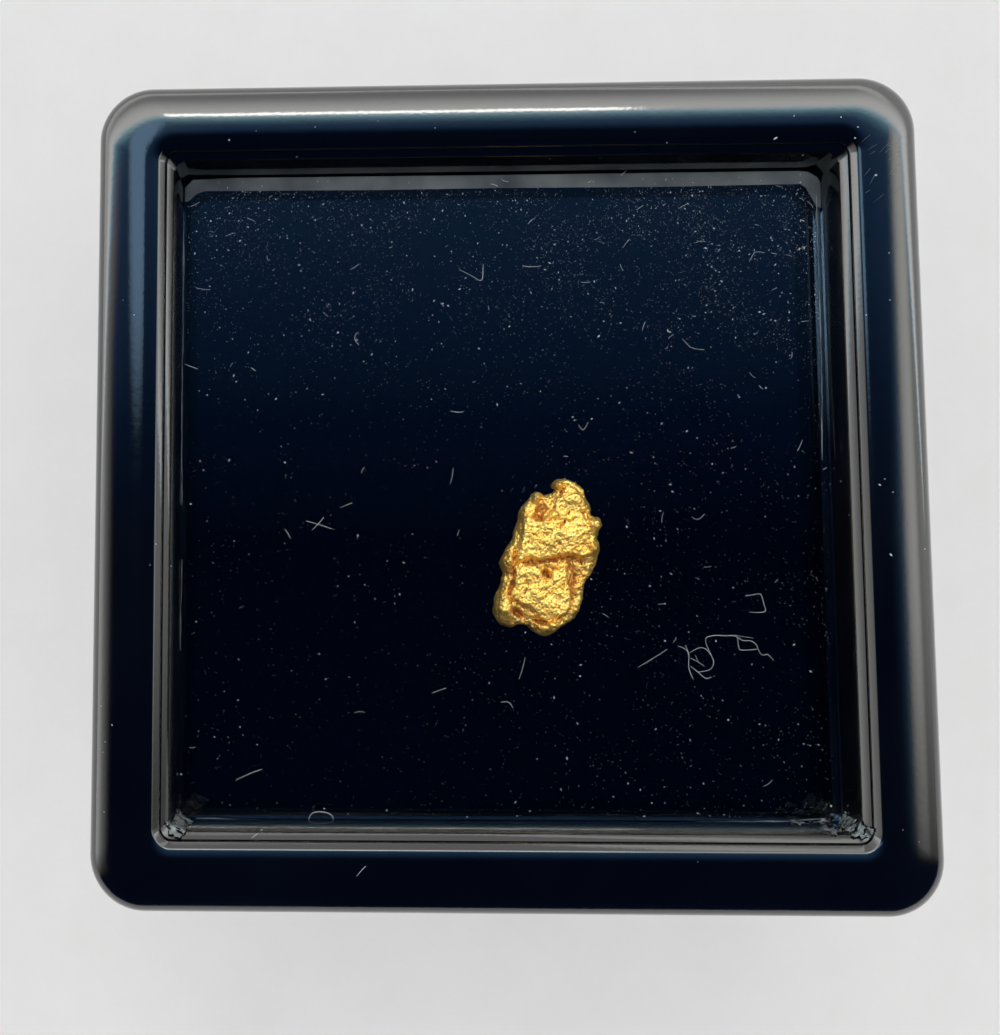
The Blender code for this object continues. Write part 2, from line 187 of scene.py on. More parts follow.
class Nodes(Tree):
    """A new material, whose textures follow the object's own coordinates (metres)."""

    def __init__(self, name):
        self.mat = bpy.data.materials.new(name)
        self.mat.use_nodes = True
        super().__init__(self.mat.node_tree)
        self.shader = self.tree.nodes["Principled BSDF"]
        self.out = self.tree.nodes["Material Output"]
        self.place = self.add("ShaderNodeTexCoord").outputs["Object"]

    def noise(self, scale, detail=3.0, rough=0.5, distortion=0.0):
        node = self.add("ShaderNodeTexNoise")
        settings = {"Scale": scale, "Detail": detail, "Roughness": rough, "Distortion": distortion}
        for name, value in settings.items():
            node.inputs[name].default_value = value
        self.link(self.place, node.inputs["Vector"])
        return node.outputs["Fac"]

    def bump(self, height, distance, strength=1.0, normal=None):
        node = self.add("ShaderNodeBump")
        node.inputs["Distance"].default_value = distance
        node.inputs["Strength"].default_value = strength
        self.link(height, node.inputs["Height"])
        if normal is not None:
            self.link(normal, node.inputs["Normal"])
        return node.outputs["Normal"]

    def attribute(self, name):
        return self.add("ShaderNodeAttribute", attribute_name=name).outputs["Fac"]

    def set(self, **values):
        for name, value in values.items():
            self.give(self.shader.inputs[name.replace("_", " ")], value)


PLASTIC_TINT, PLASTIC_SMEAR_TINT = (0.0006, 0.0008, 0.0012), (0.00132, 0.00176, 0.00264)


def black_plastic(name, rough):
    """Moulded black plastic: glossy, with fine orange peel and a faint softer sheen below it."""
    n = Nodes(name)
    peel = n.noise(5200, 2.0, 0.55)
    fine = n.noise(14000, 2.0, 0.6)
    wave = n.noise(420, 2.0, 0.5)
    smear = n.noise(160, 4.0, 0.6, 0.8)
    normal = n.bump(wave, 0.00002, 0.25)
    normal = n.bump(peel, 0.0000030, 0.55, normal)
    n.set(
        Base_Color=n.mix(n.range(smear, 0.35, 0.7), PLASTIC_TINT, PLASTIC_SMEAR_TINT),
        Roughness=n.range(smear, 0.3, 0.7, rough * 0.8, rough * 1.25),
        Specular_IOR_Level=0.2,
        Coat_Weight=1.0,
        Coat_Roughness=0.07,
        Coat_IOR=1.7,
        Normal=n.bump(fine, 0.0000015, 0.5, normal),
        Coat_Normal=normal,
    )
    return n.mat


# ---------------------------------------------------------------- box: lid, liner, base
SIDE, HEIGHT, CORNER_R = 30.0, 18.0, 2.0
LID_EDGE_R, LID_EDGE_RISE, LID_EDGE_STEPS, LID_EDGE_END = 1.9, 1.0, 26, 86  # the end in degrees
SEAM_Z, SEAM_GAP = 8.5, 0.2
LID_WALL, FRAME_THICKNESS = 1.1, 1.5
OPENING, OPENING_CORNER_R = 24.8, 0.45
CREST_CORNER_R = 1.15
# the opening's edge: a low crown that bends into a bevel, with their slopes in degrees
CROWN_SLOPE, CROWN_STEPS, BEND_RUN, BEND_STEPS = 20, 12, 0.07, 6
BEVEL_WIDTH, BEVEL_SLOPE, BEVEL_STEPS = 0.26, 48, 4
COLLAR_DROP, COLLAR_MOUTH, COLLAR_CORNER_R, MOUTH_CORNER_R = 0.36, 24.24, 0.43, 0.4
RIM_SLOPES, RIM_STEPS = (44, 53), 6  # the collar's rim slopes down into its mouth
FLANGE, FLANGE_THICKNESS, FLANGE_PLAY = 27.2, 1.2, 0.1
LEDGE, LEDGE_THICKNESS = 24.1, 0.5
PANE_TOP = HEIGHT - 2.5
PANE, PANE_THICKNESS, PANE_CORNER_R, PANE_PLAY = 24.5, 1.0, 0.35, 0.06
RIM_WALL, RIM_GAP, RIM_TOP = 0.8, 0.2, 11.6
FLOOR_THICKNESS, UNDERSIDE_RECESS, FOOT_WIDTH, FOOT_EDGE_R = 1.3, 0.4, 2.6, 0.6

frame_black = black_plastic("black_plastic_lid", 0.16)
liner_black = black_plastic("black_plastic_liner", 0.18)
base_black = black_plastic("black_plastic_base", 0.20)

half = SIDE / 2
lid_bottom = SEAM_Z + SEAM_GAP
EDGE = 0.12  # small rounds on the mouldings' hidden edges
crest = half - LID_EDGE_R


def slope_down(width, height, corner, run, start, end, steps):
    """Rings that go inwards and down, over a run, as their slope (degrees) turns from start to end."""
    rings = []
    for i in range(steps + 1):
        rings.append((width, height, corner))
        step = run / steps
        slope = math.radians(start + (end - start) * (i + 0.5) / steps)
        width, height, corner = width - step, height - step * math.tan(slope), max(corner - step, 0.2)
    return rings


crown = crest - OPENING / 2 - BEVEL_WIDTH
crown_rings = slope_down(crest, HEIGHT, CREST_CORNER_R, crown, 0, CROWN_SLOPE, CROWN_STEPS)
bend_rings = slope_down(*crown_rings[-1], BEND_RUN, CROWN_SLOPE, BEVEL_SLOPE, BEND_STEPS)
bevel_run = bend_rings[-1][0] - OPENING / 2
bevel_rings = slope_down(*bend_rings[-1], bevel_run, BEVEL_SLOPE - 2, BEVEL_SLOPE + 2, BEVEL_STEPS)
edge_rings = []
for i in range(LID_EDGE_STEPS + 1):
    a = math.radians(90 - LID_EDGE_END * i / LID_EDGE_STEPS)
    run = LID_EDGE_R * math.sin(a)
    around = CREST_CORNER_R + (CORNER_R - CREST_CORNER_R) * run / LID_EDGE_R
    edge_rings.append((crest + run, HEIGHT - LID_EDGE_RISE * (1 - math.cos(a)), around))
lid_rings = (
    [(half - EDGE, lid_bottom, CORNER_R - EDGE), (half, lid_bottom + EDGE, CORNER_R)]
    + [(half, z, CORNER_R) for z in (lid_bottom + 1, 12.0, 15.0)]
    + edge_rings + crown_rings[:-1] + bend_rings[:-1] + bevel_rings
    + [(OPENING / 2, HEIGHT - FRAME_THICKNESS, OPENING_CORNER_R)]
    + [(half - LID_WALL, HEIGHT - FRAME_THICKNESS, CORNER_R - LID_WALL)]
    + [(half - LID_WALL, lid_bottom, CORNER_R - LID_WALL)]
)
lid = put("lid_shell", loft("lid_shell", lid_rings), frame_black, angle=50)

EASE = 0.02  # the collar's play in the opening, and the break of its top edge
collar = OPENING / 2 - EASE
mouth = COLLAR_MOUTH / 2
rim_top = HEIGHT - COLLAR_DROP
flange_top = HEIGHT - FRAME_THICKNESS - FLANGE_PLAY
flange_bottom = flange_top - FLANGE_THICKNESS
ledge_top = PANE_TOP - PANE_THICKNESS - 2 * PANE_PLAY
pocket = PANE / 2 + PANE_PLAY
pocket_top = PANE_TOP + 2 * PANE_PLAY
rim_run = collar - EASE - mouth
rim = slope_down(collar - EASE, rim_top, COLLAR_CORNER_R - EASE / 2, rim_run, *RIM_SLOPES, RIM_STEPS)
rim = [(width, height, max(corner, MOUTH_CORNER_R)) for width, height, corner in rim]
liner_rings = (
    [(collar, flange_top, COLLAR_CORNER_R), (collar, rim_top - EASE, COLLAR_CORNER_R)]
    + rim
    + [(mouth, pocket_top, MOUTH_CORNER_R)]
    + [(pocket, pocket_top, PANE_CORNER_R + PANE_PLAY)]
    + [(pocket, ledge_top, PANE_CORNER_R + PANE_PLAY)]
    + [(LEDGE / 2, ledge_top, PANE_CORNER_R), (LEDGE / 2, ledge_top - LEDGE_THICKNESS, PANE_CORNER_R)]
    + [(collar, ledge_top - LEDGE_THICKNESS, COLLAR_CORNER_R), (collar, flange_bottom, COLLAR_CORNER_R)]
    + [(FLANGE / 2, flange_bottom, CORNER_R - LID_WALL), (FLANGE / 2, flange_top, CORNER_R - LID_WALL)]
)
liner = put("liner_collar", loft("liner_collar", liner_rings), liner_black, angle=40)

rim_outer = half - LID_WALL - RIM_GAP
cavity = rim_outer - RIM_WALL
foot = half - FOOT_WIDTH
base_rings = (
    [(foot, 0.0, 1.0)]
    + arc(half - FOOT_EDGE_R, FOOT_EDGE_R, CORNER_R - FOOT_EDGE_R, FOOT_EDGE_R, 180, 90, 8)
    + [(half, z, CORNER_R) for z in (2.5, 5.0, SEAM_Z - EDGE)]
    + [(half - EDGE, SEAM_Z, CORNER_R - EDGE), (rim_outer, SEAM_Z, CORNER_R - LID_WALL)]
    + [(rim_outer, RIM_TOP - 0.25, CORNER_R - LID_WALL), (rim_outer - 0.25, RIM_TOP, 0.7)]
    + [(cavity + 0.1, RIM_TOP, 1.0), (cavity, RIM_TOP - 0.1, 1.0), (cavity, FLOOR_THICKNESS + 0.3, 1.0)]
    + [(cavity - 0.3, FLOOR_THICKNESS, 1.0), (0.5, FLOOR_THICKNESS, 0.3)]
)
under_rings = [(0.5, UNDERSIDE_RECESS, 0.3), (foot - 0.2, UNDERSIDE_RECESS, 1.0)]
base = put("box_bottom", loft("box_bottom", under_rings + base_rings, capped=True), base_black, angle=40)

for piece, node in ((lid, "lid"), (liner, "window_liner"), (base, "box_base")):
    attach(piece, "root")
    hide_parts(node)

# ---------------------------------------------------------------- pane
n = Nodes("clear_pane")
n.set(
    Base_Color=(0.93, 0.96, 0.97),
    Roughness=0.0,
    IOR=1.46,
    Transmission_Weight=1.0,
)
clear = n.add("ShaderNodeBsdfTransparent")
clear.inputs["Color"].default_value = (0.86, 0.89, 0.90, 1)
through = n.add("ShaderNodeMixShader")
n.link(n.add("ShaderNodeLightPath").outputs["Is Shadow Ray"], through.inputs[0])
n.link(n.shader.outputs[0], through.inputs[1])
n.link(clear.outputs[0], through.inputs[2])
n.link(through.outputs[0], n.out.inputs["Surface"])
PANE_BEVEL = 0.06
pane_bottom = PANE_TOP - PANE_THICKNESS
pane_rings = [
    (PANE / 2 - PANE_BEVEL, pane_bottom, PANE_CORNER_R - PANE_BEVEL),
    (PANE / 2, pane_bottom + PANE_BEVEL, PANE_CORNER_R),
    (PANE / 2, PANE_TOP - PANE_BEVEL, PANE_CORNER_R),
    (PANE / 2 - PANE_BEVEL, PANE_TOP, PANE_CORNER_R - PANE_BEVEL),
]
pane = put("window_glass", loft("window_glass", pane_rings, capped=True), n.mat, smooth=False)
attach(pane, "root")
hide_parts("window_pane")

# ---------------------------------------------------------------- pad
PAD_TOP, PAD_GAP, PAD_CORNER_R, PAD_EDGE_R = 11.65, 0.25, 1.0, 0.45
PAD_DENT_DEPTH, PAD_DENT_RADII = 0.2, (2.2, 3.0)
PAD_STEPS, PAD_UNEVENNESS, PAD_UNEVEN_SCALE = 150, 0.05, 2.4
NUGGET_AT = (1.95, -2.54)
NUGGET_FIT = 0.967  # how much of its traced plan size the body keeps, because its skin stands out from it
NUGGET_MIDDLE_Z = 12.4


def pad_mesh():
    """A cushion of foam: rounded edges and corners, an uneven top, and a dent under the nugget."""
    width = cavity - PAD_GAP
    bm = bmesh.new()
    bmesh.ops.create_grid(bm, x_segments=PAD_STEPS, y_segments=PAD_STEPS, size=width * MM)
    for vert in bm.verts:
        x, y = vert.co.x / MM, vert.co.y / MM
        edge = min(width - abs(x), width - abs(y))
        round_off = max(0.0, PAD_EDGE_R - edge)
        z = PAD_TOP - PAD_EDGE_R + math.sqrt(max(0.0, PAD_EDGE_R**2 - round_off**2))
        across, along = ((at - middle) / r for at, middle, r in zip((x, y), NUGGET_AT, PAD_DENT_RADII))
        z -= PAD_DENT_DEPTH * math.exp(-(across**2 + along**2))
        z -= PAD_UNEVENNESS * abs(noise.fractal(Vector((x, y, 0)) * PAD_UNEVEN_SCALE, 0.8, 2.0, 3))
        vert.co.z = z * MM
        # round the plan's corners
        inner = width - PAD_CORNER_R
        if abs(x) > inner and abs(y) > inner:
            away = Vector((abs(x) - inner, abs(y) - inner))
            far = max(away.x, away.y)
            if away.length > 0:
                away = away.normalized() * far
            vert.co.x = math.copysign(inner + away.x, x) * MM
            vert.co.y = math.copysign(inner + away.y, y) * MM
    rim = [e for e in bm.edges if e.is_boundary]
    made = bmesh.ops.extrude_edge_only(bm, edges=rim)["geom"]
    low = [v for v in made if isinstance(v, bmesh.types.BMVert)]
    for vert in low:
        vert.co.z = (FLOOR_THICKNESS + PAD_GAP) * MM
    bmesh.ops.holes_fill(bm, edges=[e for e in bm.edges if e.is_boundary], sides=0)
    bmesh.ops.recalc_face_normals(bm, faces=bm.faces)
    return finished(bm, "pad")


n = Nodes("black_foam")
cells = n.add("ShaderNodeTexVoronoi")
cells.inputs["Scale"].default_value = 4200
n.link(n.place, cells.inputs["Vector"])
n.set(
    Base_Color=n.mix(cells.outputs["Distance"], (0.0001, 0.0002, 0.0005), (0.0004, 0.0008, 0.0024)),
    Roughness=0.95,
    Specular_IOR_Level=0.0,
    Normal=n.bump(cells.outputs["Distance"], 0.00006, 0.6),
)
pad = put("foam_cushion", pad_mesh(), n.mat)
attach(pad, "root")
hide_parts("foam_pad")

# ---------------------------------------------------------------- nugget
NUGGET_HALF_THICKNESS, NUGGET_EDGE_R, NUGGET_CURVE_STEPS = 0.72, 0.34, 8
VOXEL, QUICK_VOXEL = 0.0305, 0.036
# the skin: shallow swells, folds about 0.3 mm across, curled wrinkles half as wide, and a grain
SWELL_HEIGHT, FOLD_HEIGHT, WRINKLE_HEIGHT, GRAIN_HEIGHT = 0.070, 0.016, 0.017, 0.013
SWELL_SIZE, FOLD_SIZE, WRINKLE_SIZE, GRAIN_SIZE = 0.42, 0.30, 0.150, 0.065
# hollows darken the gold: rounds of smoothing that measure them, and the depth of a full one
HOLLOWS = {"hollow": (70, 0.06), "fine_hollow": (8, 0.0125)}
OUTLINE = (
    (0.72, 3.14), (1.00, 3.06), (1.35, 2.79), (1.59, 2.31), (1.71, 1.99),
    (1.67, 1.67), (1.83, 1.59), (2.03, 1.55), (2.11, 1.27), (1.99, 0.92),
    (1.95, 0.68), (2.03, 0.44), (1.99, 0.08), (1.83, -0.36), (1.63, -0.72),
    (1.43, -1.15), (1.35, -1.55), (1.23, -1.99), (1.15, -2.23), (0.92, -2.51),
    (0.72, -2.63), (0.32, -2.87), (0.04, -3.06), (-0.32, -3.14), (-0.64, -2.91),
    (-0.88, -2.71), (-1.27, -2.71), (-1.59, -2.79), (-1.95, -2.63), (-2.15, -2.31),
    (-2.15, -1.95), (-2.09, -1.63), (-1.91, -1.19), (-1.75, -0.68), (-1.83, -0.36),
    (-1.87, -0.16), (-1.79, 0.04), (-1.51, 0.48), (-1.35, 0.80), (-1.15, 1.35),
    (-1.03, 1.83), (-0.88, 2.11), (-0.64, 2.39), (-0.44, 2.59), (-0.20, 2.51),
    (-0.16, 2.43), (0.24, 2.59), (0.44, 2.75), (0.30, 2.87), (0.36, 3.02),
)
NOTCHES = ((1.67, 1.67), (-0.16, 2.43), (0.24, 2.59), (0.30, 2.87), (-1.75, -0.68), (-1.27, -2.71))
PLATES = {  # raised plates: outline, height, width of the slope
    "upper": (
        ((-1.00, 1.70), (-0.55, 1.45), (-0.10, 1.55), (0.20, 1.95), (0.40, 2.35), (0.65, 2.60),
         (1.10, 2.60), (1.45, 2.25), (1.62, 1.90), (1.62, 1.60), (1.90, 1.50), (2.02, 1.25),
         (1.86, 0.85), (1.80, 0.60), (1.90, 0.40), (1.80, 0.10), (1.30, 0.00), (0.90, 0.08),
         (0.30, -0.02), (-0.30, -0.10), (-0.95, -0.06), (-1.30, -0.30), (-1.22, 0.25), (-1.10, 0.70)),
        0.20, 0.18),
    "lower": (
        ((-1.35, -0.48), (-0.90, -0.38), (-0.30, -0.38), (0.10, -0.55), (0.60, -0.40), (0.76, -0.88),
         (0.84, -1.50), (0.68, -2.15), (0.36, -2.40), (-0.10, -2.47), (-0.36, -2.40), (-0.75, -2.00),
         (-1.20, -1.80), (-1.58, -1.55), (-1.62, -1.35), (-1.42, -1.00)),
        0.16, 0.16),
    "crown": (
        ((0.50, 2.55), (0.75, 2.85), (1.05, 2.75), (1.30, 2.45), (1.20, 2.20), (0.70, 2.20)), 0.06, 0.14),
}
LUMPS = {  # place, radii, turn in degrees, height
    "heel_lobe": ((-1.82, -2.06), (0.32, 0.48), -12, 0.42),
    "foot_lump": ((0.10, -2.76), (0.28, 0.20), 10, 0.36),
    "foot_side_lump": ((-0.36, -2.80), (0.22, 0.20), 0, 0.26),
    "ear": ((1.86, 1.26), (0.20, 0.30), 8, 0.26),
    "side_knob": ((1.80, 0.44), (0.18, 0.24), 0, 0.22),
    "hook": ((0.40, 2.88), (0.14, 0.14), 0, 0.30),
    "left_bulge": ((-1.66, -0.18), (0.22, 0.32), 0, 0.28),
    "shoulder_rim": ((-0.50, 2.42), (0.22, 0.14), 40, 0.20),
    "middle_swell": ((0.55, 0.95), (0.95, 0.65), 0, 0.10),
    "lower_swell": ((-0.10, -1.35), (0.70, 0.45), 10, 0.07),
    "toe_swell": ((0.15, -2.05), (0.45, 0.32), 0, 0.09),
    "pit": ((-0.14, -0.70), (0.17, 0.25), 12, -0.52),
    "pocket": ((-0.30, 1.92), (0.20, 0.34), -14, -0.24),
    "pocket_tail": ((-0.40, 1.58), (0.26, 0.10), -20, -0.16),
    "shoulder_hole": ((-0.28, 2.28), (0.07, 0.07), 0, -0.14),
    "flank_dent": ((1.05, -0.55), (0.34, 0.42), 10, -0.14),
    "lobe_dent": ((1.45, 1.76), (0.18, 0.13), 0, -0.10),
    "heel_hollow": ((-1.25, -2.30), (0.32, 0.14), -35, -0.26),
    "toe_hollow": ((-0.45, -2.55), (0.34, 0.10), -12, -0.20),
    "shoulder_slope": ((0.05, 2.45), (0.26, 0.14), 30, -0.14),
}
CREASES = {  # line, half-width, depth
    "ledge": (
        ((-0.95, -0.22), (-0.55, -0.20), (-0.10, -0.12), (0.45, -0.10), (0.85, -0.02), (1.30, -0.16)),
        0.10, 0.15),
    "flank": (
        ((0.84, -0.10), (0.86, -0.40), (1.02, -0.68), (0.95, -1.08), (0.86, -1.60), (0.80, -2.05),
         (0.98, -2.38)),
        0.07, 0.10),
    "left": (
        ((-1.18, 1.25), (-1.22, 0.70), (-1.38, 0.25), (-1.46, -0.20), (-1.50, -0.72), (-1.44, -1.05),
         (-1.66, -1.30), (-1.60, -1.70), (-1.46, -2.05), (-1.05, -2.36)),
        0.07, 0.10),
    "brow": (((-0.48, 1.46), (0.10, 1.50), (0.70, 1.48), (1.20, 1.54), (1.66, 1.56)), 0.05, 0.07),
    "crack": (((0.62, 1.40), (0.52, 1.28), (0.46, 1.10)), 0.05, 0.14),
    "lobe_rim": (((0.85, 2.96), (1.20, 2.72), (1.46, 2.28)), 0.05, 0.10),
    "saddle": (((0.05, 2.10), (0.32, 2.42), (0.56, 2.72)), 0.05, 0.08),
}
STAINS_AND_SHADE = {  # browner places of the top face, partly stains and partly painted shade (under the ledge, in the pocket, down the left side and on the heel's and foot's low rims): place, radii, turn in degrees, and strength
    "flank": ((0.96, -0.76), (0.34, 0.62), 0, 0.9),
    "flank_low": ((0.92, -1.55), (0.16, 0.60), 0, 0.5),
    "ledge": ((-0.02, -0.20), (0.80, 0.15), 2, 0.9),
    "ledge_right": ((0.95, -0.12), (0.45, 0.16), -8, 0.7),
    "pocket": ((-0.27, 1.86), (0.24, 0.42), -14, 0.8),
    "pocket_tail": ((-0.45, 1.50), (0.28, 0.12), -20, 0.6),
    "left": ((-1.50, -1.00), (0.20, 0.75), -4, 0.8),
    "left_bulge": ((-1.66, -0.12), (0.20, 0.30), 0, 0.5),
    "heel": ((-1.27, -2.24), (0.42, 0.20), -35, 1.0),
    "heel_rim": ((-1.70, -2.66), (0.40, 0.13), 0, 0.8),
    "toe": ((-0.85, -2.12), (0.42, 0.24), -25, 0.6),
    "foot": ((-0.38, -2.78), (0.42, 0.24), 0, 0.8),
    "right_edge": ((1.50, -0.62), (0.16, 0.60), 25, 0.4),
}


def distance_to_line(points, line):
    """How far each point is from a line through some corners."""
    nearest = np.full(len(points), np.inf)
    corners = np.array(line)
    for start, end in zip(corners, corners[1:]):
        along, offset = end - start, points - start
        share = np.clip(offset @ along / (along @ along), 0, 1)
        nearest = np.minimum(nearest, np.linalg.norm(offset - share[:, None] * along, axis=1))
    return nearest


def distance_inside(points, loop):
    """How far each point is inside a closed loop, or as a negative number outside it."""
    inside = np.zeros(len(points), bool)
    corners = np.array(loop + loop[:1])
    for start, end in zip(corners, corners[1:]):
        along, offset = end - start, points - start
        crosses = (start[1] > points[:, 1]) != (end[1] > points[:, 1])
        rise = np.where(along[1] == 0, 1e-9, along[1])
        inside ^= crosses & (offset[:, 0] < along[0] * offset[:, 1] / rise)
    nearest = distance_to_line(points, loop + loop[:1])
    return np.where(inside, nearest, -nearest)


def smooth_step(value):
    """0 to 1, with level ends."""
    value = np.clip(value, 0, 1)
    return value * value * (3 - 2 * value)


def lump(points, place, radii, turn):
    """A low hill: 1 at its place, and little beyond its radii."""
    angle = math.radians(turn)
    offset = points - np.array(place)
    along = offset @ np.array((math.cos(angle), math.sin(angle))) / radii[0]
    across = offset @ np.array((-math.sin(angle), math.cos(angle))) / radii[1]
    return np.exp(-((along**2 + across**2) ** 1.5))


def relief(points):
    """How far the top face stands out at each place."""
    height = np.zeros(len(points))
    for loop, rise, slope in PLATES.values():
        height += rise * smooth_step(distance_inside(points, loop) / slope + 0.5)
    for place, radii, turn, rise in LUMPS.values():
        height += rise * lump(points, place, radii, turn)
    for line, half_width, depth in CREASES.values():
        height -= depth * np.exp(-((distance_to_line(points, line) / half_width) ** 2))
    return height


def stains_and_shade(points):
    """How brown the top face is at each place, from stains and from painted shade."""
    share = np.zeros(len(points))
    for place, radii, turn, strength in STAINS_AND_SHADE.values():
        share = np.maximum(share, strength * lump(points, place, radii, turn))
    return share


def evaluated_mesh(data, voxel=None):
    """The mesh that a curve or a mesh makes, remeshed where a voxel size is given."""
    holder = bpy.data.objects.new("step", data)
    bpy.context.scene.collection.objects.link(holder)
    if voxel is not None:
        modifier = holder.modifiers.new("remesh", "REMESH")
        modifier.mode = "VOXEL"
        modifier.voxel_size = voxel
    graph = bpy.context.evaluated_depsgraph_get()
    mesh = bpy.data.meshes.new_from_object(holder.evaluated_get(graph), depsgraph=graph)
    bpy.data.objects.remove(holder)
    return mesh


def nugget_body():
    """A smooth slab with the nugget's outline and rounded edges, as a curve."""
    curve = bpy.data.curves.new("outline", "CURVE")
    curve.dimensions = "2D"
    curve.fill_mode = "BOTH"
    curve.extrude = NUGGET_HALF_THICKNESS - NUGGET_EDGE_R
    curve.bevel_depth = NUGGET_EDGE_R
    curve.bevel_resolution = curve.resolution_u = NUGGET_CURVE_STEPS
    curve.offset = -NUGGET_EDGE_R
    spline = curve.splines.new("BEZIER")
    spline.bezier_points.add(len(OUTLINE) - 1)
    for knot, (x, y) in zip(spline.bezier_points, OUTLINE):
        knot.co = (x, y, 0)
        knot.handle_left_type = knot.handle_right_type = "VECTOR" if (x, y) in NOTCHES else "AUTO"
    spline.use_cyclic_u = True
    return curve


def coordinates(mesh):
    points = np.empty(len(mesh.vertices) * 3)
    mesh.vertices.foreach_get("co", points)
    return points.reshape(-1, 3)


def normals_of(mesh):
    normals = np.empty(len(mesh.vertices) * 3, np.float32)
    mesh.vertex_normals.foreach_get("vector", normals)
    return normals.reshape(-1, 3).astype(float)


def fractal(points, size, octaves=3):
    """Noise about 0 at each point, with patches of about a size."""
    return np.array([noise.fractal(Vector(p), 0.8, 2.1, octaves) for p in points / size])


def drift(points, size, octaves, *shifts):
    """Noise along each of some axes, by which a pattern wanders."""
    return np.stack([fractal(points + shift, size, octaves) for shift in shifts], 1)


def smooth_positions(points, edges, rounds):
    """The points after each has moved halfway to its neighbours' middle, some rounds long."""
    count = np.bincount(edges.ravel(), minlength=len(points)).astype(float)[:, None]
    for _ in range(rounds):
        total = np.zeros_like(points)
        for axis in range(3):
            total[:, axis] = np.bincount(edges[:, 0], points[edges[:, 1], axis], len(points))
            total[:, axis] += np.bincount(edges[:, 1], points[edges[:, 0], axis], len(points))
        points = 0.5 * points + 0.5 * total / count
    return points


def make_nugget():
    voxel = VOXEL
    mesh = evaluated_mesh(evaluated_mesh(nugget_body()), voxel)
    points, normals = coordinates(mesh), normals_of(mesh)
    facing_up = smooth_step(normals[:, 2] * 2 + 0.35)
    points[:, 2] += relief(points[:, :2] + 0.09 * drift(points, 0.40, 3, 5.0, 17.0)) * facing_up
    points += normals * (SWELL_HEIGHT * fractal(points, SWELL_SIZE))[:, None]
    mesh.vertices.foreach_set("co", points.ravel())

    mesh = evaluated_mesh(mesh, voxel)
    points, normals = coordinates(mesh), normals_of(mesh)
    folds = 1 - 2 * np.abs(fractal(points, FOLD_SIZE, 2))
    curled = points + 0.09 * drift(points, 0.35, 2, 11.0, 23.0, 37.0)
    wrinkles = 1 - 3 * np.abs(fractal(curled, WRINKLE_SIZE, 2))
    grain = fractal(points, GRAIN_SIZE, 2)
    skin = FOLD_HEIGHT * folds + WRINKLE_HEIGHT * wrinkles + GRAIN_HEIGHT * grain
    points += normals * skin[:, None]
    mesh.vertices.foreach_set("co", points.ravel())

    edges = np.empty(len(mesh.edges) * 2, np.int32)
    mesh.edges.foreach_get("vertices", edges)
    edges = edges.reshape(-1, 2)
    # the browner places hold stains and also painted shade under the ledge and on the low rims
    shades = {"stain_and_shade": stains_and_shade(points[:, :2] + 0.10 * drift(points, 0.25, 2, 31.0, 43.0))}
    for name, (rounds, full) in HOLLOWS.items():
        depth = ((smooth_positions(points, edges, rounds) - points) * normals).sum(1)
        shades[name] = np.clip(0.5 + depth / (2 * full), 0, 1)
    for name, values in shades.items():
        attribute = mesh.attributes.new(name, "FLOAT", "POINT")
        attribute.data.foreach_set("value", values.astype(np.float32))
    place = Matrix.Translation((NUGGET_AT[0] * MM, NUGGET_AT[1] * MM, NUGGET_MIDDLE_Z * MM))
    mesh.transform(place @ Matrix.Diagonal((NUGGET_FIT * MM, NUGGET_FIT * MM, MM, 1.0)))
    return mesh


GOLD_DEEP, GOLD_PALE, GOLD_CREASE = (1.0, 0.60, 0.12), (1.0, 0.71, 0.20), (0.50, 0.20, 0.03)
# the first brown is for stains and painted shade together, the second for the brown in hollows
BROWN_STAIN_AND_SHADE, BROWN_HOLLOW = (0.36, 0.11, 0.025), (0.26, 0.07, 0.015)
n = Nodes("native_gold")
hollow, fine, stain_and_shade = (n.attribute(name) for name in ("hollow", "fine_hollow", "stain_and_shade"))
patch = n.noise(1500, 3.0, 0.6)
colour = n.mix(n.range(patch, 0.35, 0.65), GOLD_DEEP, GOLD_PALE)
colour = n.mix(n.range(fine, 0.5, 0.9), colour, GOLD_CREASE)
# stains, and painted shade under the ledge, in the pocket and on the left and low rims, brown the gold
browned_and_shaded = n.maths("MULTIPLY", stain_and_shade, n.range(n.noise(5200, 3.0, 0.65), 0.30, 0.62, 0.25, 1.0))
colour = n.mix(browned_and_shaded, colour, BROWN_STAIN_AND_SHADE)
colour = n.mix(n.range(hollow, 0.62, 1.0), colour, BROWN_HOLLOW)
n.set(
    Base_Color=colour,
    Metallic=1.0,
    Roughness=n.range(fine, 0.3, 0.9, 0.33, 0.58),
    Normal=n.bump(n.noise(11000, 3.0, 0.65, 0.8), 0.000034, 1.0),
)
nugget = put("nugget_gold", make_nugget(), n.mat)
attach(nugget, "root")
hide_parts("gold_nugget")

# ---------------------------------------------------------------- dust, lint and torn film
corners, faces = [], []
for piece in (lid, liner, pane):
    first = len(corners)
    corners += [v.co / MM for v in piece.data.vertices]
    faces += [[first + i for i in polygon.vertices] for polygon in piece.data.polygons]
box_surface = BVHTree.FromPolygons(corners, faces)


def seen(x, y):
    """The point (mm) of the box or its pane that the photograph's pixel shows, and the normal there."""
    eye = camera.location / MM
    point, normal, *_ = box_surface.ray_cast(eye, at_pixel(x, y, 0) - eye)
    return point, normal


def on_box(x, y, lift):
    """The point a little above the surface that a pixel shows."""
    point, normal = seen(x, y)
    return point + normal * lift


def on_pane(x, y, lift):
    """The point a little above the pane's plane that a pixel shows."""
    return at_pixel(x, y, PANE_TOP) + Vector((0, 0, lift))


def pale(name, low, high, scale, rough=0.8):
    """Dust or film, whose colour and gloss vary over patches."""
    n = Nodes(name)
    fac = n.noise(scale, 3.0, 0.6)
    n.set(
        Base_Color=n.mix(n.range(fac, 0.3, 0.7), low, high),
        Roughness=n.range(fac, 0.3, 0.7, rough, rough * 0.8),
        Specular_IOR_Level=0.3,
    )
    return n.mat


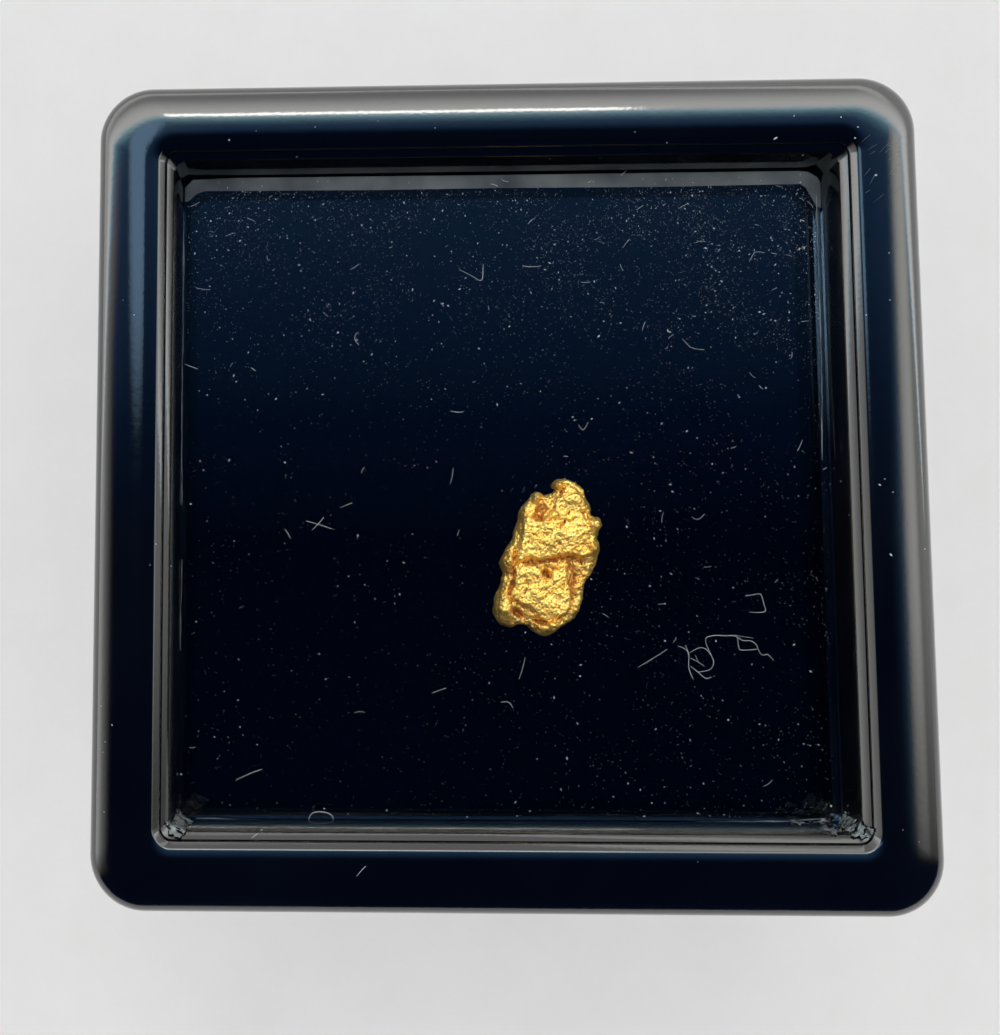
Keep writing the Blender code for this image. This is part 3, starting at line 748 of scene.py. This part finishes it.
dust_white = pale("dust_white", (0.45, 0.48, 0.50), (0.94, 0.95, 0.93), 900)
dust_grey = pale("dust_grey", (0.06, 0.075, 0.09), (0.30, 0.33, 0.35), 600)
lint_white = pale("lint_white", (0.62, 0.65, 0.66), (0.95, 0.96, 0.94), 1200)
film_white = pale("torn_film", (0.08, 0.10, 0.105), (0.42, 0.46, 0.46), 2600, 0.45)
film_grey = pale("film_edge", (0.04, 0.05, 0.06), (0.15, 0.17, 0.175), 320, 0.35)


def loose(piece):
    """A piece that stands for no solid."""
    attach(piece, "root")
    return piece


def specks(name, places, mat):
    """Tiny uneven flakes: each a point, its normal, its length and width (mm) and its turn."""
    verts, faces = [], []
    for point, normal, length, width, turn in places:
        side = normal.orthogonal().normalized()
        side = Matrix.Rotation(turn, 3, normal) @ side
        across = normal.cross(side)
        first = len(verts)
        jitter = rng.uniform(0.6, 1.2, 6)
        spokes = (side * length, across * width, -side * length, -across * width)
        verts += [(point + v * j * 0.5) * MM for v, j in zip(spokes, jitter)]
        verts += [(point + normal * width * 0.5 * jitter[4]) * MM, (point - normal * width * 0.2) * MM]
        for i in range(4):
            a, b = first + i, first + (i + 1) % 4
            faces += [(a, b, first + 4), (b, a, first + 5)]
    mesh = bpy.data.meshes.new(name)
    mesh.from_pydata(verts, [], faces)
    return loose(put(name, mesh, mat, smooth=False))


def fibre(points, radius, uneven):
    """The mesh of a hair through the points (mm), its ends thinner, and its thickness uneven."""
    curve = bpy.data.curves.new("hair", "CURVE")
    curve.dimensions = "3D"
    curve.bevel_depth = radius * MM
    curve.bevel_resolution = 1
    curve.resolution_u = 6
    spline = curve.splines.new("NURBS")
    spline.points.add(len(points) - 1)
    for i, (knot, point) in enumerate(zip(spline.points, points)):
        knot.co = (*(point * MM), 1)
        tip = 0.6 if i in (0, len(points) - 1) else 1.0
        knot.radius = tip * (1 + uneven * rng.uniform(-1, 1))
    spline.order_u = 3
    spline.use_endpoint_u = True
    return evaluated_mesh(curve)


def joined(name, meshes, mat):
    """One piece from several meshes."""
    bm = bmesh.new()
    for mesh in meshes:
        bm.from_mesh(mesh)
    return loose(put(name, finished(bm, name), mat))


# Lint on the pane, as pixels of the photograph that it passes through
LINT = {
    "straight": ((638, 667), (652, 659), (667, 649)),
    "tangle_stalk": ((678, 646), (685, 648), (689, 654), (688, 666), (690, 673), (693, 679)),
    "tangle_tip": ((685, 645), (687, 650), (689, 655)),
    "tangle_arch": (
        (689, 653), (695, 649), (701, 647), (706, 649), (710, 654), (714, 661), (712, 668), (707, 671),
        (698, 672),
    ),
    "tangle_bar": ((690, 658), (697, 661), (704, 666)),
    "tangle_stroke": ((695, 655), (698, 662)),
    "tangle_foot": ((690, 666), (697, 671), (703, 677), (707, 679), (711, 677)),
    "tangle_thread": (
        (711, 655), (706, 645), (705, 638), (709, 636), (717, 635), (725, 636), (734, 635), (740, 639),
        (743, 641), (750, 640), (756, 644), (758, 650), (761, 655), (765, 655), (767, 653), (773, 660),
    ),
    "tangle_twin": ((734, 635), (745, 637), (753, 638)),
    "tangle_branch": ((737, 637), (738, 647), (740, 651), (757, 649)),
    "hook": ((745, 596), (752, 595), (760, 593), (762, 598), (764, 606), (766, 610), (762, 613), (749, 612)),
    "below_nugget": ((525, 657), (523, 668), (519, 679)),
    "j": ((501, 702), (507, 701), (511, 704), (513, 708)),
    "dash_low": ((432, 693), (439, 690), (446, 688)),
    "cross_a": ((306, 521), (319, 524), (332, 529)),
    "cross_b": ((312, 530), (319, 524), (324, 517)),
    "dash_left": ((340, 508), (346, 505), (352, 503)),
    "loop_low": ((308, 823), (309, 815), (316, 811), (328, 812), (335, 818), (328, 825), (318, 824)),
    "dash_bottom": ((236, 780), (249, 773), (262, 769)),
    "dash_corner": ((254, 837), (259, 833), (264, 831)),
    "left_edge": ((166, 707), (169, 702), (172, 699)),
    "left_a": ((185, 364), (191, 367), (198, 369)),
    "left_b": ((196, 288), (203, 290), (211, 290)),
    "zigzag": ((459, 270), (470, 275), (482, 283), (483, 273), (483, 264)),
    "top_dash": ((522, 266), (531, 268), (541, 266)),
    "by_nugget": ((450, 484), (453, 476), (453, 468)),
    "middle": ((450, 411), (457, 413), (463, 412)),
    "hook_left": ((358, 332), (351, 338), (359, 345)),
    "hook_right": ((682, 339), (687, 344), (691, 349), (704, 350)),
    "v": ((578, 425), (581, 429), (584, 431), (588, 422)),
    "branch_right": ((749, 262), (752, 256), (755, 251), (765, 253)),
    "v_low": ((692, 517), (698, 523), (704, 514)),
    "corner_dash": ((797, 451), (800, 446), (802, 440)),
}
LINT_RADIUS, FINE_LINT_RADIUS, FINE_LINT_COUNT = 0.007, 0.006, 60
lint = []
for route in LINT.values():
    points = [on_pane(x, y, 0.02 + 0.05 * rng.random()) for x, y in route]
    lint.append(fibre(points, LINT_RADIUS, 0.35))
THREADS = {  # on the frame: the pixels, and half the thickness
    "bottom_bar": (((357, 876), (361, 870), (366, 866)), 0.009),
    "liner_corner": (((252, 838), (258, 834), (262, 830)), 0.010),
}
for route, radius in THREADS.values():
    lint.append(fibre([on_box(x, y, 0.02) for x, y in route], radius, 0.3))


def dustiness(x, y):
    """How much dust lies at a place on the pane: most along its far side and towards its far right."""
    far = min(max((y - 1.5) / 9.5, 0), 1)
    right = min(max((x + 4) / 14, 0), 1)
    patch = 0.5 + noise.noise(Vector((x, y, 3.0)) * 0.55)
    return (0.07 + 0.60 * far**1.8 + 0.45 * right * far**1.3 + 0.08 * right) * (0.35 + patch)


def scattered(count, reach):
    """Places on the pane, thicker where more dust lies."""
    places = []
    while len(places) < count:
        x, y = rng.uniform(-reach, reach, 2)
        if rng.random() < dustiness(x, y):
            places.append((x, y))
    return places


up = Vector((0, 0, 1))
reach = COLLAR_MOUTH / 2 - 0.15
DUST = {  # how many flakes, the smallest, how much larger, how rare the large ones are, and how long
    "pane_fine_dust": (9000, 0.009, 0.009, 1, 2.2),
    "pane_dust": (1300, 0.018, 0.036, 3, 3.2),
}
for name, (count, smallest, larger, rarity, longest) in DUST.items():
    places = scattered(count, reach)
    sizes = smallest + larger * rng.random(count) ** rarity
    flakes = [
        (Vector((x, y, PANE_TOP)), up, size * rng.uniform(1.0, longest), size, rng.uniform(0, 7))
        for (x, y), size in zip(places, sizes)
    ]
    specks(name, flakes, dust_white)
for x, y in scattered(FINE_LINT_COUNT, reach):
    turn, length = rng.uniform(0, 7), rng.uniform(0.12, 0.42)
    bend = rng.uniform(-0.25, 0.25) * length
    way = Vector((math.cos(turn), math.sin(turn), 0))
    side = Vector((-math.sin(turn), math.cos(turn), 0))
    start = Vector((x, y, PANE_TOP + 0.02))
    points = [start, start + way * length / 2 + side * bend, start + way * length]
    lint.append(fibre(points, FINE_LINT_RADIUS, 0.3))
joined("pane_lint", lint, lint_white)

# Bright specks, as pixels of the photograph with their sizes (mm)
PANE_SPECKS = (
    (766, 388, 0.09), (181, 774, 0.12), (207, 521, 0.05), (191, 504, 0.07), (507, 245, 0.06),
    (511, 249, 0.04), (434, 301, 0.08), (441, 303, 0.05), (277, 803, 0.05), (771, 238, 0.07),
    (778, 246, 0.06), (790, 251, 0.05), (804, 248, 0.08), (812, 240, 0.06), (780, 296, 0.07),
    (788, 302, 0.06), (793, 298, 0.04), (205, 312, 0.06), (212, 236, 0.06), (299, 265, 0.09),
    (301, 271, 0.07), (256, 213, 0.05), (233, 198, 0.06), (300, 243, 0.06), (338, 262, 0.05),
    (328, 181, 0.06), (341, 210, 0.05), (831, 806, 0.10), (771, 825, 0.11), (728, 720, 0.10),
    (641, 840, 0.05), (530, 811, 0.05), (517, 816, 0.05), (467, 817, 0.05), (240, 727, 0.06),
    (243, 735, 0.04), (665, 641, 0.09), (716, 641, 0.07), (650, 586, 0.07), (665, 604, 0.05),
    (697, 616, 0.05), (772, 824, 0.10),
)
FRAME_SPECKS = (
    (229, 140, 0.12), (315, 127, 0.05), (256, 131, 0.04), (435, 128, 0.06), (378, 121, 0.05),
    (297, 157, 0.05), (550, 159, 0.04), (600, 158, 0.04), (635, 132, 0.05), (667, 143, 0.05),
    (794, 116, 0.07), (841, 117, 0.08), (858, 127, 0.08), (855, 138, 0.10), (776, 138, 0.12),
    (803, 155, 0.06), (876, 175, 0.11), (866, 315, 0.07), (890, 300, 0.05), (889, 253, 0.06),
    (841, 481, 0.09), (830, 484, 0.04), (849, 515, 0.06), (893, 492, 0.06), (880, 485, 0.09),
    (885, 479, 0.06), (891, 555, 0.10), (925, 549, 0.07), (112, 725, 0.08), (105, 742, 0.05),
    (103, 752, 0.04), (104, 812, 0.05), (101, 706, 0.04), (171, 566, 0.04), (156, 544, 0.06),
    (150, 565, 0.04), (903, 830, 0.05), (919, 842, 0.06), (698, 862, 0.04), (123, 300, 0.04),
    (134, 315, 0.05), (230, 805, 0.04),
)
placed = []
for x, y, size in PANE_SPECKS:
    placed.append((on_pane(x, y, 0.0), up, size * rng.uniform(0.9, 1.5), size * 0.8, rng.uniform(0, 7)))
for x, y, size in FRAME_SPECKS:
    point, normal = seen(x, y)
    placed.append((point, normal, size * rng.uniform(0.9, 1.6), size * 0.7, rng.uniform(0, 7)))
specks("bright_specks", placed, dust_white)

# Thin dusty lines where the pane meets the collar, as pixels of the photograph, with half the thickness
SEAM_STEP = 9  # pixels
SEAM_LINES = {
    "left_high": (((183, 192), (184, 250), (183, 330), (182, 400), (182, 515)), 0.014),
    "left_low": (((182, 560), (181, 610), (180, 660)), 0.009),
    "low": (
        ((196, 818), (260, 820), (330, 822), (470, 823), (600, 824), (700, 822), (790, 821), (836, 818)),
        0.016),
    "low_inner": (((215, 827), (330, 829), (470, 830), (600, 830), (740, 828)), 0.009),
    "right_high": (((816, 196), (818, 250), (820, 320), (822, 400), (822, 470)), 0.015),
    "right_low": (((836, 440), (838, 480), (839, 510), (840, 560)), 0.013),
}
lines = []
for route, radius in SEAM_LINES.values():
    points = []
    for (x0, y0), (x1, y1) in zip(route, route[1:]):
        steps = max(2, int(math.hypot(x1 - x0, y1 - y0) / SEAM_STEP))
        for i in range(steps):
            points.append(on_pane(x0 + (x1 - x0) * i / steps, y0 + (y1 - y0) * i / steps, 0.02))
    points = [p + Vector((rng.normal(0, 0.010), rng.normal(0, 0.010), 0)) for p in points]
    lines.append(fibre(points, radius, 0.6))
joined("pane_edge_dust", lines, dust_grey)

# Fine scratches on the frame's far right corner: the pixels between which they start, and their length
SCRATCH_COUNT, SCRATCHES_X, SCRATCHES_Y, SCRATCH_LENGTH = 22, (858, 900), (140, 205), (5, 15)
scratches = []
for _ in range(SCRATCH_COUNT):
    x, y = rng.uniform(*SCRATCHES_X), rng.uniform(*SCRATCHES_Y)
    turn, length = rng.uniform(0.5, 1.1), rng.uniform(*SCRATCH_LENGTH)
    route = [(x + length * t * math.cos(turn), y - length * t * math.sin(turn)) for t in (0, 0.33, 0.66, 1)]
    scratches.append(fibre([on_box(*at, 0.002) for at in route], 0.004, 0.4))
joined("frame_scratches", scratches, dust_grey)

# Torn bits of film in the window's near corners: their outlines as pixels of the photograph
FILM_THICKNESS, SHRED_STAND = 0.012, 0.05
TATTER, TATTER_AT = 2.4, (0, 0.25, 0.5, 0.75)  # how far (pixels) and where an edge's points stand out
CRUMPLE_SHIFTS = [Vector((k, k, k)) for k in (0.0, 5.3, 9.7)]
SHREDS = {
    "left": (
        (179, 808), (184, 816), (193, 823), (187, 824), (186, 831), (183, 836), (174, 835), (169, 831),
        (165, 828), (166, 821), (169, 824), (171, 822), (174, 817), (176, 813)),
    "right": (
        (847, 811), (851, 818), (859, 821), (862, 825), (871, 828), (874, 832), (872, 835), (865, 837),
        (856, 837), (851, 833), (844, 829), (838, 824), (842, 819), (846, 813)),
    "low_bit_a": ((790, 819), (797, 820), (804, 824), (796, 824)),
    "low_bit_b": ((807, 823), (817, 820), (827, 819), (830, 821), (818, 823)),
    "low_bit_c": ((819, 827), (827, 829), (836, 833), (833, 835), (824, 831)),
}


def fill(bm, points):
    """Triangles across the closed loop of the points."""
    rim = bm.faces.new([bm.verts.new(point) for point in points])
    bmesh.ops.triangle_fill(bm, use_beauty=True, edges=rim.edges[:])
    bmesh.ops.delete(bm, geom=[f for f in bm.faces if len(f.verts) > 3], context="FACES_ONLY")


def thicken(bm, name):
    """The mesh of a film from a sheet of faces (mm)."""
    bmesh.ops.solidify(bm, geom=bm.faces[:], thickness=FILM_THICKNESS)
    bmesh.ops.scale(bm, vec=(MM, MM, MM), verts=bm.verts)
    return finished(bm, name)


shreds = []
for outline in SHREDS.values():
    bm = bmesh.new()
    points = []
    for (x0, y0), (x1, y1) in zip(outline, outline[1:] + outline[:1]):
        for t in TATTER_AT:
            x, y = x0 + (x1 - x0) * t, y0 + (y1 - y0) * t
            if t:
                out = TATTER * rng.uniform(-0.5, 1) / math.hypot(x1 - x0, y1 - y0)
                x, y = x + (y1 - y0) * out, y - (x1 - x0) * out
            points.append(on_box(x, y, 0.03 + SHRED_STAND * rng.random()))
    fill(bm, points)
    bmesh.ops.subdivide_edges(bm, edges=bm.edges[:], cuts=2, use_grid_fill=True)
    holes = [f for f in bm.faces if noise.noise(f.calc_center_median() * 8.0) > 0.16]
    bmesh.ops.delete(bm, geom=holes, context="FACES")
    for vert in bm.verts:
        crumple = [noise.noise(vert.co * 9.0 + shift) for shift in CRUMPLE_SHIFTS]
        vert.co += 0.035 * Vector(crumple) + Vector((0, 0, 0.05))
    shreds.append(thicken(bm, "shred"))
joined("torn_film", shreds, film_white)

# The film's edge, still stuck along the window's far side: pixels of its far and near edges
FILM_EDGE = (
    (185, 188), (193, 180), (235, 178), (500, 175), (800, 171), (808, 172), (817, 177), (821, 183),
    (822, 196), (821, 208), (816, 206), (811, 197), (806, 188), (800, 184), (650, 187), (500, 188),
    (380, 190), (235, 191), (205, 191), (197, 194), (189, 201), (185, 202),
)
bm = bmesh.new()
fill(bm, [on_pane(x, y, 0.008) for x, y in FILM_EDGE])
film_edge = put("window_film_edge", thicken(bm, "window_film_edge"), film_grey, smooth=False)
loose(film_edge)

# ---------------------------------------------------------------- floor and light
n = Nodes("table")
n.set(
    Base_Color=n.mix(n.noise(260, 5.0, 0.65), (0.80, 0.795, 0.79), (0.86, 0.86, 0.865)),
    Roughness=0.7,
    Specular_IOR_Level=0.2,
    Normal=n.bump(n.noise(900, 4.0, 0.6), 0.0001, 0.25),
)
FLOOR_HALF_SIZE = 1.0  # metres
bm = bmesh.new()
bmesh.ops.create_grid(bm, x_segments=2, y_segments=2, size=FLOOR_HALF_SIZE)
floor = put("table", finished(bm, "table"), n.mat, smooth=False)

bpy.context.scene.view_settings.view_transform = "Standard"
world = bpy.data.worlds.new("world")
bpy.context.scene.world = world
world.use_nodes = True
# the softboxes light the table, so that the box casts only a faint shadow
world.cycles_visibility.diffuse = False

# The room's light at each angle from straight up (degrees), towards +Y, +X and -X
NORTH_SKY = (
    (0, (0.002, 0.012, 0.05)), (6, (0.008, 0.04, 0.13)), (15, (0.05, 0.15, 0.36)), (20, (0.08, 0.2, 0.43)),
    (24.5, (0.15, 0.33, 0.63)), (28.6, (0.34, 0.75, 1.1)), (33, (0.9, 1.7, 2.0)), (37, (2.5, 3.3, 3.7)),
    (40, (3.7, 3.7, 3.6)), (46, (3.5, 3.5, 3.4)), (54, (2.7, 2.7, 2.65)), (62, (1.8, 1.8, 1.8)),
    (68, (1.3, 1.3, 1.3)), (76, (1.0, 1.0, 1.0)), (90, (1.0, 1.0, 1.0)),
)
EAST_SKY = (
    (23, (0, 0, 0)), (33, (0.02, 0.06, 0.15)), (38, (0.08, 0.2, 0.36)), (42, (0.3, 0.5, 0.7)),
    (44, (0.8, 0.85, 0.9)), (47, (1.5, 1.5, 1.5)), (50, (2.1, 2.1, 2.05)), (57, (2.5, 2.5, 2.4)),
    (63, (2.2, 2.2, 2.1)), (70, (1.1, 1.1, 1.05)), (90, (1.0, 1.0, 1.0)),
)
WEST_SKY = (
    (50, (0, 0, 0)), (54.7, (0.1, 0.1, 0.12)), (62, (0.5, 0.5, 0.5)), (70, (0.95, 0.95, 0.95)),
    (82, (2.0, 2.0, 1.95)), (90, (2.0, 2.0, 1.95)),
)
SKY_PEAK = 4.0
GLOW, GLOW_AT = (0.22, 0.37, 0.55), (-0.30, 0.36, 0.883)  # a bluish glow, and the way to it
BLACK, BACKDROP = (0, 0, 0), (0.18, 0.18, 0.185)


def sky(tree):
    """The bands of light round the box, which its gloss and its window mirror."""
    directions = tree.add("ShaderNodeSeparateXYZ")
    tree.link(tree.add("ShaderNodeTexCoord").outputs["Generated"], directions.inputs[0])
    x, y, z = (directions.outputs[axis] for axis in "XYZ")

    def step(value, low, high):
        return tree.range(value, low, high, kind="SMOOTHSTEP")

    def bands(side, stops):
        node = tree.add("ShaderNodeValToRGB")
        ramp = node.color_ramp
        while len(ramp.elements) < len(stops):
            ramp.elements.new(0.5)
        for element, (degrees, colour) in zip(ramp.elements, stops):
            element.position = degrees / 90
            element.color = (*[c / SKY_PEAK for c in colour], 1)
        angle = tree.maths("ARCTAN2", side, z)
        tree.link(tree.maths("DIVIDE", angle, math.pi / 2), node.inputs["Fac"])
        return node.outputs["Color"]

    west = tree.maths("MULTIPLY", x, -1.0)
    # towards the north-west the bright room reaches higher
    lifted = tree.maths("ADD", west, tree.maths("MULTIPLY", step(y, 0.13, 0.26), 0.30))
    # both sides fade towards the south, the east side sooner
    east_side = tree.mix(step(y, -0.37, 0.02), BLACK, bands(x, EAST_SKY))
    sides = tree.mix(1.0, east_side, bands(lifted, WEST_SKY), "LIGHTEN")
    sides = tree.mix(step(y, -0.60, -0.2), BLACK, sides)
    room = tree.mix(1.0, sides, bands(y, NORTH_SKY), "LIGHTEN")
    along, across, up = (tree.maths("MULTIPLY", axis, share) for axis, share in zip((x, y, z), GLOW_AT))
    towards_glow = tree.maths("ADD", along, tree.maths("ADD", across, up))
    share = tree.maths("MULTIPLY", step(towards_glow, 0.955, 0.99), step(west, 0.19, 0.23))
    room = tree.mix(1.0, room, tree.mix(share, BLACK, GLOW), "LIGHTEN")
    back = tree.tree.nodes["Background"]
    back.inputs["Strength"].default_value = SKY_PEAK
    shown = tree.add("ShaderNodeLightPath").outputs["Is Camera Ray"]
    tree.link(tree.mix(shown, room, BACKDROP), back.inputs["Color"])


sky(Tree(world.node_tree))

LIGHT_DISTANCE = 4.0  # metres


def softbox(name, azimuth, low, high, spread, radiance, colour=(1, 1, 1), glossy=True):
    """A rectangular light between two elevations, spread degrees wide. Azimuth 0 is +Y and 90 is +X."""
    a, e = math.radians(azimuth), math.radians((low + high) / 2)
    width, tall = (2 * LIGHT_DISTANCE * math.tan(math.radians(span / 2)) for span in (spread, high - low))
    way = Vector((math.sin(a) * math.cos(e), math.cos(a) * math.cos(e), math.sin(e)))
    data = bpy.data.lights.new(name, "AREA")
    data.shape = "RECTANGLE"
    data.size, data.size_y = width, tall
    data.energy = radiance * math.pi * width * tall
    data.color = colour
    obj = bpy.data.objects.new(name, data)
    bpy.context.scene.collection.objects.link(obj)
    obj.location = Vector((0, 0, HEIGHT * MM)) + way * LIGHT_DISTANCE
    obj.rotation_euler = (-way).to_track_quat("-Z", "Y").to_euler()
    obj.visible_camera = False
    obj.visible_glossy = obj.visible_transmission = glossy
    return obj


softbox("lamp_line", -1, 48.8, 52.4, 23, 10.0, (1.0, 0.97, 0.9))
softbox("overhead", 0, 84, 96, 12, 40.0, (1.0, 0.995, 1.0), glossy=False)
softbox("room_fill", 0, 50, 130, 105, 0.55, (1.0, 0.995, 1.0), glossy=False)
keys = [
    softbox("key", 15, 48, 88, 50, 11.5, (1.0, 0.96, 0.88)),
    softbox("key_dome", 0, 25, 155, 130, 2.1, (1.0, 0.95, 0.86)),
]
lit = bpy.data.collections.new("lit by the key")
lit.objects.link(nugget)
for key in keys:
    key.visible_transmission = False
    key.light_linking.receiver_collection = lit
